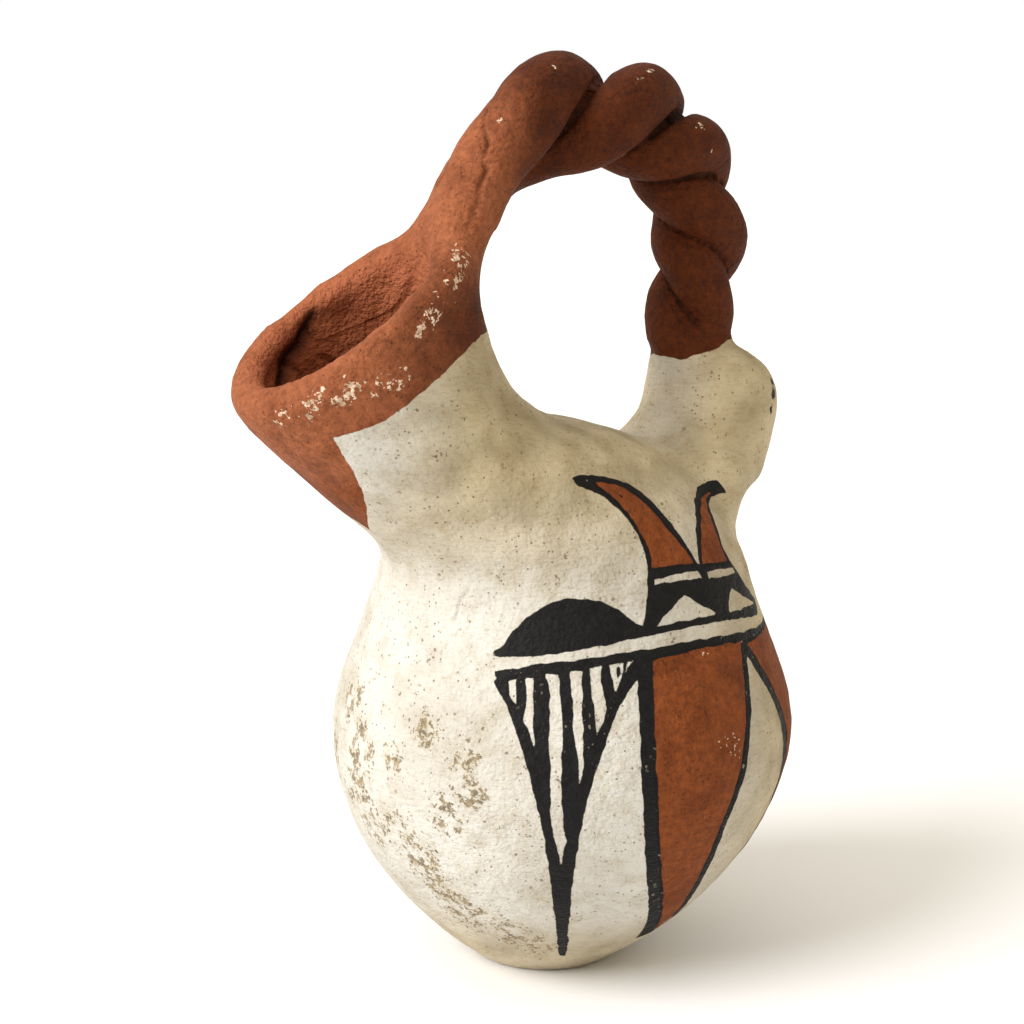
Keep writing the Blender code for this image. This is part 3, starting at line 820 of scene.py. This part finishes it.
def fine_pot():
    """The pot's points and faces, and shares for its inner skin, that skin's rough part and the painted shade
    of its creases.
    """
    whole, top, hollow = body(), head(), cavity()
    added = [rope("rope_a", 0.0), rope("rope_b", 0.5), web(), top]
    cut = [hollow, head_cavity(), scoop()]
    points, faces = arrays(joined(whole, added, cut))
    lines = [rope_line(0.0), rope_line(0.5)]
    to_rope = np.minimum(*[np.abs(gap_to_rope(points, *line)[0]) for line in lines])
    to_body, to_head, to_cavity = (gap_to(tree_of(shape), points) for shape in (whole, top, hollow))
    for shape in [whole] + added + cut:
        bpy.data.objects.remove(shape)
    smoother = Smoother(faces, len(points))
    points, held = smeared(points, smoother, lines, to_rope, to_body, to_head)
    within = smoother.mean(((to_cavity < 1.5) & (to_cavity < to_body)).astype(float)[:, None])[:, 0]
    along = (points - np.array(SPOUT_START)) @ np.array(SPOUT_ALONG)
    inner = np.where(along < INNER_END, within, 0.0)

    # Fewer triangles inside, where each new point takes the shares of the old face under it
    kept = BVHTree.FromPolygons(points.tolist(), faces.tolist())
    old, values = faces, np.stack([held, within, inner], 1)
    points, faces = lighter(points, faces, inner)
    which = [old[kept.find_nearest(Vector(point))[2]] for point in points]
    held, within, inner = values[which].mean(1).T

    # More of them along the creases and cuts
    for limit in CREASE_EDGES:
        near = rope_crease(points, held, lines)
        for _, _, line in GROOVES:
            near = np.minimum(near, gap_to_line(points, line))

        def wanted(a, b, length):
            return (np.minimum(near[a], near[b]) < 0.9) & (length > limit)

        (points, held, within, inner), faces = split_edges((points, held, within, inner), faces, wanted)
    points = on_ropes(points, held, lines)
    near = rope_crease(points, held, lines)
    # The painted shade of the creases: widest where the ropes meet at the top, and in the cuts by their depth
    deep = step(points[:, 2], 139, 147) * step(points[:, 0], -22, -16)
    crease = np.clip(1 - near / (0.7 + 1.2 * deep * step(points[:, 2], 160, 147)), 0, 1)
    for width, depth, line in GROOVES:
        crease = np.maximum(crease, 0.75 * depth * np.clip(1 - gap_to_line(points, line) / width / 1.5, 0, 1))
    normals = vertex_normals(points, faces)
    points = points + normals * relief(points, held, inner, near, deep)[:, None]
    return points, faces, within, inner, crease


def fitted(points, box):
    """Points moved and stretched a hair so that they fill the frame's box and no more."""
    low, high = (np.array(corner) / MM for corner in box)
    first, last = points.min(0), points.max(0)
    return low + (points - first) * (high - low) / (last - first)


def show(name, points, faces):
    mesh = bpy.data.meshes.new(name)
    mesh.vertices.add(len(points))
    mesh.vertices.foreach_set("co", (points * MM).ravel())
    mesh.loops.add(len(faces) * 3)
    mesh.loops.foreach_set("vertex_index", faces.ravel())
    mesh.polygons.add(len(faces))
    mesh.polygons.foreach_set("loop_start", np.arange(len(faces)) * 3)
    mesh.polygons.foreach_set("loop_total", np.full(len(faces), 3))
    mesh.update(calc_edges=True)
    shape = bpy.data.objects.new(name, mesh)
    bpy.context.scene.collection.objects.link(shape)
    return shape


# Materials

class Nodes:
    """Short names for adding shader nodes to a material or the world."""

    def __init__(self, tree, place="Object"):
        self.tree = tree
        self.place = tree.nodes.new("ShaderNodeTexCoord").outputs[place]

    def put(self, socket, value):
        if isinstance(value, bpy.types.NodeSocket):
            self.tree.links.new(value, socket)
        elif isinstance(value, tuple):
            socket.default_value = value + (1,) if len(value) == 3 and socket.type == "RGBA" else value
        else:
            socket.default_value = value

    def node(self, kind, values, out=0, **settings):
        made = self.tree.nodes.new(kind)
        for name, value in settings.items():
            setattr(made, name, value)
        for name, value in values.items():
            self.put(made.inputs[name], value)
        return made.outputs[out]

    def noise(self, size, detail=3.0, rough=0.55, place=None, seed=0.0):
        shift = (seed * 0.37, seed * 0.11, seed * 0.23)
        place = self.vector("ADD", place or self.place, shift)
        values = {"Vector": place, "Scale": 1 / (size * MM), "Detail": detail, "Roughness": rough}
        return self.node("ShaderNodeTexNoise", values)

    def maths(self, operation, a, b=0.0, c=0.0):
        made = self.tree.nodes.new("ShaderNodeMath")
        made.operation = operation
        for socket, value in zip(made.inputs, (a, b, c)):
            self.put(socket, value)
        return made.outputs[0]

    def times(self, a, b):
        return self.maths("MULTIPLY", a, b)

    def plus(self, a, b):
        return self.maths("ADD", a, b)

    def vector(self, operation, a, b):
        return self.node("ShaderNodeVectorMath", {0: a, 1: b}, operation=operation)

    def ramp(self, value, low, high, start=0.0, end=1.0):
        values = {"Value": value, "From Min": low, "From Max": high, "To Min": start, "To Max": end}
        return self.node("ShaderNodeMapRange", values, clamp=True)

    def select(self, share, a, b):
        return self.node("ShaderNodeMix", {0: share, 2: a, 3: b})

    def mix(self, share, a, b, blend="MIX"):
        made = self.tree.nodes.new("ShaderNodeMix")
        made.data_type = "RGBA"
        made.blend_type = blend
        for index, value in ((0, share), (6, a), (7, b)):
            self.put(made.inputs[index], value)
        return made.outputs[2]

    def darker(self, share, colour, factor):
        """The colour times a factor, by a share."""
        return self.mix(share, colour, factor, "MULTIPLY")

    def field(self, name):
        return self.node("ShaderNodeAttribute", {}, 2, attribute_name=name)

    def stretch(self, x, y, z):
        return self.vector("MULTIPLY", self.place, (x, y, z))

    def spots(self, size, reach, seed):
        """1 in small round spots spaced about a size apart, reaching so far of that."""
        place = self.vector("ADD", self.place, (seed, seed * 2, seed * 3))
        gap = self.node("ShaderNodeTexVoronoi", {"Vector": place, "Scale": 1 / (size * MM)})
        return self.ramp(gap, reach * 0.6, reach, 1.0, 0.0)

    def flakes(self, size, share, seed, warp):
        """1 in a share, 0 to 1, of cells of about a size, made ragged by the warp."""
        shift = self.node("ShaderNodeVectorMath", {0: warp, "Scale": 1.3 * size * MM}, operation="SCALE")
        place = self.vector("ADD", self.vector("ADD", self.place, shift), (seed, seed * 2, seed * 3))
        chance = self.node("ShaderNodeTexVoronoi", {"Vector": place, "Scale": 1 / (size * MM)}, 1)
        chance = self.node("ShaderNodeSeparateXYZ", {"Vector": chance})
        return self.ramp(self.maths("SUBTRACT", share, chance), 0.0, 0.02)


def new_material(name):
    material = bpy.data.materials.new(name)
    material.use_nodes = True
    return material, material.node_tree.nodes["Principled BSDF"]


def clay_material():
    material, surface = new_material("painted_clay")
    n = Nodes(material.node_tree)
    warp = n.node("ShaderNodeTexNoise", {"Vector": n.place, "Scale": 1.6 / MM, "Detail": 1.0}, 1)
    warp = n.vector("SUBTRACT", warp, (0.5, 0.5, 0.5))
    red, black, worn, chipped = n.field("red"), n.field("black"), n.field("worn"), n.field("chipped")
    warm, inner, crease = n.field("warm"), n.field("inner"), n.field("crease")
    drift, cloud, patch = n.field("drift"), n.field("cloud"), n.field("patch")
    x, y, z = (n.node("ShaderNodeSeparateXYZ", {"Vector": n.place}, axis) for axis in range(3))

    wander = n.times(n.maths("SUBTRACT", n.noise(2.4, 1), 0.5), 0.7)
    wander = n.plus(wander, n.times(n.maths("SUBTRACT", n.noise(0.5, 1), 0.5), 0.16))
    in_black = n.ramp(n.plus(black, wander), -0.06, 0.08)
    in_red = n.ramp(n.plus(red, wander), -0.06, 0.08)

    # Where pigment is lost: ragged flecks, many in the worn and chipped places, and fine pores everywhere
    mottle = n.noise(1.2, 3, 0.7, seed=8.0)
    patchy = n.ramp(n.noise(2.4, 2, 0.65, seed=6.5), 0.44, 0.62)
    worn = n.times(n.ramp(worn, 0.0, 0.5), patchy)
    bald = n.plus(n.times(worn, 0.62), n.times(patchy, 0.015))
    bare = n.plus(n.ramp(chipped, 0.05, 0.7, 0.0, 0.42), n.ramp(cloud, 0.25, 0.7, 0.0, 0.02))
    lost = n.select(in_red, bald, n.times(bare, patchy))
    large = n.flakes(0.62, lost, 31.0, warp)
    flecks = n.maths("MAXIMUM", large, n.flakes(0.42, n.times(lost, 0.75), 33.0, warp))
    pitted = n.spots(1.3, 0.15, 5.0)
    pores = n.times(pitted, n.ramp(cloud, -0.25, 0.25))
    pores = n.maths("MAXIMUM", pores, n.times(n.spots(3.1, 0.085, 9.0), 0.95))
    pores = n.maths("MAXIMUM", pores, n.flakes(0.45, n.ramp(patch, -0.35, 0.6, 0.0, 0.035), 21.0, warp))

    # Cream slip: soft drifts of tone, brush streaks, grit and rough ochre where it has worn, with painted
    # shade as a darker yellow and in the creases
    cream = n.mix(n.ramp(drift, -0.35, 0.4), (0.55, 0.52, 0.46), (0.63, 0.605, 0.555))
    # Painted shade: a darker yellow, partly the slip's own warmer tone, on the sides away from the light and
    # low down
    yellow_and_shade = n.mix(n.ramp(cloud, -0.4, 0.4), (0.385, 0.31, 0.185), (0.55, 0.46, 0.3))
    cream = n.mix(warm, cream, yellow_and_shade)
    cream = n.darker(n.ramp(patch, -0.1, 0.5, 0.0, 0.8), cream, (0.85, 0.82, 0.76))
    streaks = n.noise(2.2, 2, 0.7, n.stretch(1.0, 1.0, 4.0), 3.0)
    cream = n.darker(n.ramp(streaks, 0.5, 0.76, 0.0, 0.8), cream, (0.84, 0.79, 0.7))
    slanted = {"Vector": n.place, "Rotation": (0.5, 0.3, -0.7), "Scale": (1.0, 7.0, 1.0)}
    scrapes = n.noise(4.0, 2, 0.6, n.node("ShaderNodeMapping", slanted), 3.5)
    cream = n.darker(n.ramp(scrapes, 0.54, 0.7, 0.0, 0.55), cream, (0.86, 0.82, 0.74))
    cream = n.mix(n.times(pores, 0.75), cream, (0.14, 0.095, 0.055))
    cream = n.mix(n.times(worn, 0.5), cream, (0.42, 0.34, 0.215))
    ochre = n.mix(n.ramp(mottle, 0.4, 0.6), (0.085, 0.06, 0.028), (0.3, 0.22, 0.11))
    cream = n.mix(n.times(flecks, 0.78), cream, ochre)
    # Painted shade in the ropes' creases and in the cuts and cracks
    cream = n.darker(n.times(crease, 0.7), cream, (0.5, 0.42, 0.34))

    # Red clay paint, darker and browner on the handle and the near wall of the spout than on the rim:
    # the deep red is painted shade where they turn from the light, the paler red their lit side
    # Painted shade: the mask for the near wall of the spout below the rim, which faces away from the light
    shade = n.times(n.ramp(x, -0.05, -0.03), n.ramp(y, 0.0, -0.012))
    shade = n.times(shade, n.ramp(z, 0.132, 0.122))
    far = n.maths("MAXIMUM", n.ramp(x, -0.023, -0.012), shade)
    # The lit red and its copy in painted shade, chosen by the mask; below them, the figures' own rust red
    pale = n.mix(n.ramp(mottle, 0.3, 0.7), (0.2, 0.059, 0.022), (0.37, 0.118, 0.049))
    deep = n.mix(n.ramp(mottle, 0.3, 0.72), (0.052, 0.0095, 0.0012), (0.112, 0.0235, 0.0032))
    rust = n.mix(n.ramp(mottle, 0.32, 0.7), (0.15, 0.037, 0.0085), (0.27, 0.07, 0.0165))
    paint_red = n.mix(n.ramp(z, 0.092, 0.096, 1.0, 0.0), n.mix(far, pale, deep), rust)
    paint_red = n.mix(n.times(inner, 0.6), paint_red, (0.42, 0.13, 0.06))
    paint_red = n.darker(n.ramp(patch, -0.1, 0.5, 0.0, 0.8), paint_red, (0.7, 0.64, 0.58))
    paint_red = n.mix(n.times(pores, 0.6), paint_red, (0.03, 0.01, 0.006))
    # Painted shade, nearly black, deep in the ropes' creases and the cuts
    paint_red = n.darker(n.ramp(crease, 0.05, 0.85), paint_red, (0.06, 0.04, 0.04))
    chalky = n.mix(n.ramp(mottle, 0.4, 0.6), (0.42, 0.28, 0.18), (0.85, 0.68, 0.52))
    paint_red = n.mix(n.times(flecks, 0.92), paint_red, chalky)

    # Black paint, nearly even, with a few lost flecks
    coal = n.mix(n.ramp(mottle, 0.4, 0.75), (0.005, 0.0046, 0.0046), (0.0115, 0.0105, 0.0103))
    coal = n.mix(n.times(pores, n.ramp(drift, 0.0, 0.3, 0.0, 0.5)), coal, (0.42, 0.35, 0.26))

    n.put(surface.inputs["Base Color"], n.mix(in_black, n.mix(in_red, cream, paint_red), coal))
    n.put(surface.inputs["Roughness"], n.plus(n.ramp(mottle, 0.3, 0.7, 0.55, 0.7), n.times(in_red, 0.14)))
    surface.inputs["Metallic"].default_value = 0.0
    surface.inputs["Specular IOR Level"].default_value = 0.16

    height = n.times(n.noise(0.7, 1, 0.7, seed=17.0), 0.6)
    height = n.plus(height, n.times(n.noise(2.4, 2, 0.65, seed=18.0), 1.6))
    height = n.plus(height, n.times(streaks, 0.8))
    height = n.maths("SUBTRACT", height, n.times(pitted, 0.5))
    rough = n.plus(n.maths("MAXIMUM", red, 0.0), n.times(inner, 2.0))
    height = n.plus(height, n.times(n.times(rough, n.noise(1.3, 2, 0.72, seed=19.0)), 0.5))
    bump = n.node("ShaderNodeBump", {"Strength": 0.9, "Distance": 0.36 * MM, "Height": height})
    n.put(surface.inputs["Normal"], bump)
    return material


def floor_material():
    material, surface = new_material("pale_floor")
    surface.inputs["Base Color"].default_value = (0.93, 0.935, 0.95, 1)
    surface.inputs["Roughness"].default_value = 0.7
    return material


# Camera, floor and light

def camera_frame():
    a, e = math.radians(AZIMUTH), math.radians(ELEVATION)
    right = Vector((math.cos(a), math.sin(a), 0))
    ahead = Vector((-math.sin(a) * math.cos(e), math.cos(a) * math.cos(e), -math.sin(e)))
    up = right.cross(ahead)
    scale = MM_PER_PIXEL * MM
    middle = PICTURE / 2
    target = right * (middle - BASE_PIXEL[0]) * scale + up * (BASE_PIXEL[1] - middle) * scale
    return right, up, ahead, target


def add_camera():
    right, up, ahead, target = camera_frame()
    data = bpy.data.cameras.new("camera")
    data.sensor_width = 36
    data.lens = 36 * DISTANCE / (PICTURE * MM_PER_PIXEL)
    data.clip_start = 0.01
    camera = bpy.data.objects.new("camera", data)
    place = target - ahead * DISTANCE * MM
    camera.matrix_world = Matrix.Translation(place) @ Matrix((right, up, -ahead)).transposed().to_4x4()
    bpy.context.scene.collection.objects.link(camera)
    bpy.context.scene.camera = camera


def add_sun(name, towards, strength, angle, colour):
    data = bpy.data.lights.new(name, "SUN")
    data.energy = strength
    data.angle = math.radians(angle)
    data.color = colour
    light = bpy.data.objects.new(name, data)
    light.rotation_euler = Vector(towards).to_track_quat("Z", "Y").to_euler()
    bpy.context.scene.collection.objects.link(light)


def add_world(ahead):
    """A dim warm room, brighter overhead, with a white backdrop lit behind the pot."""
    world = bpy.data.worlds.new("studio")
    world.use_nodes = True
    n = Nodes(world.node_tree, "Generated")
    colour = (0.31, 0.275, 0.215)
    parts = ((0, 0, 1), 0.0, 0.9, (1.05, 0.98, 0.84)), (ahead, 0.72, 0.9, (1, 1, 1))
    for towards, low, high, reached in parts:
        facing = n.node("ShaderNodeVectorMath", {0: n.place, 1: towards}, "Value", operation="DOT_PRODUCT")
        colour = n.mix(n.ramp(facing, low, high), colour, reached)
    n.put(n.tree.nodes["Background"].inputs["Color"], colour)
    bpy.context.scene.world = world


def add_stage():
    mesh = bpy.data.meshes.new("floor")
    edge = 6.0
    corners = [(-edge, -edge, 0), (edge, -edge, 0), (edge, edge, 0), (-edge, edge, 0)]
    mesh.from_pydata(corners, [], [(0, 1, 2, 3)])
    floor = bpy.data.objects.new("floor", mesh)
    mesh.materials.append(floor_material())
    bpy.context.scene.collection.objects.link(floor)
    bpy.context.scene.view_settings.view_transform = "Standard"
    right, _, ahead, _ = camera_frame()
    add_world((ahead.x, ahead.y, 0.0))
    add_sun("window", -right * 0.8 - ahead * 0.45 + Vector((0, 0, 0.52)), 3.4, 38, (0.985, 0.99, 1.0))


def outer_skin(points, faces):
    """A function that gives the point on the outer skin at an angle round the pot and a height."""
    tree = BVHTree.FromPolygons(points.tolist(), faces.tolist())

    def skin(angle, height):
        out = Vector((math.cos(math.radians(angle)), math.sin(math.radians(angle)), 0))
        hit = tree.ray_cast(out * 90 + Vector((0, 0, height)), -out)[0]
        return tuple(hit) if hit else tuple(out * 20 + Vector((0, 0, height)))

    return skin


def main():
    add_camera()
    points, faces, within, inner, crease = fine_pot()
    points = fitted(points, CAD_BOX)
    normals = vertex_normals(points, faces)
    outlines = painted(outer_skin(points, faces))
    for limit in PAINT_EDGES:
        red, black = paint(points, outlines, within)

        def on_edge(a, b, length):
            near = np.zeros(len(a), bool)
            for field in (red, black):
                near |= field[a] * field[b] < 0
                near |= np.minimum(np.abs(field[a]), np.abs(field[b])) < 0.3 * length
            return near & (length > limit) & (inner[a] < 0.5) & (inner[b] < 0.5)

        values = points, normals, within, inner, crease
        (points, normals, within, inner, crease), faces = split_edges(values, faces, on_edge)
    red, black = paint(points, outlines, within)
    for x, y, z, reach in EYES + SPECKS:
        black = np.maximum(black, reach - gap_to_point(points, (x, y, z)))
    normals /= np.linalg.norm(normals, axis=1)[:, None]
    pot = show("clay_pot", points, faces)
    pot.data.shade_smooth()
    pot.data.normals_split_custom_set_from_vertices(normals.tolist())
    fields = {
        "red": red,
        "black": black,
        "worn": blots(points, WORN),
        "chipped": blots(points, CHIPS),
        "warm": yellowing_and_shade(points),
        "inner": within,
        "crease": crease,
        "drift": ripple(points, 22, 11),
        "cloud": ripple(points, 8.5, 12) + 0.4 * ripple(points, 4, 13),
        "patch": ripple(points, 5, 14) + 0.5 * ripple(points, 2.6, 15),
    }
    for name, values in fields.items():
        pot.data.attributes.new(name, "FLOAT", "POINT").data.foreach_set("value", values.astype(np.float32))
    pot.data.materials.append(clay_material())
    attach(pot, "root")
    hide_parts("pot")
    add_stage()


main()
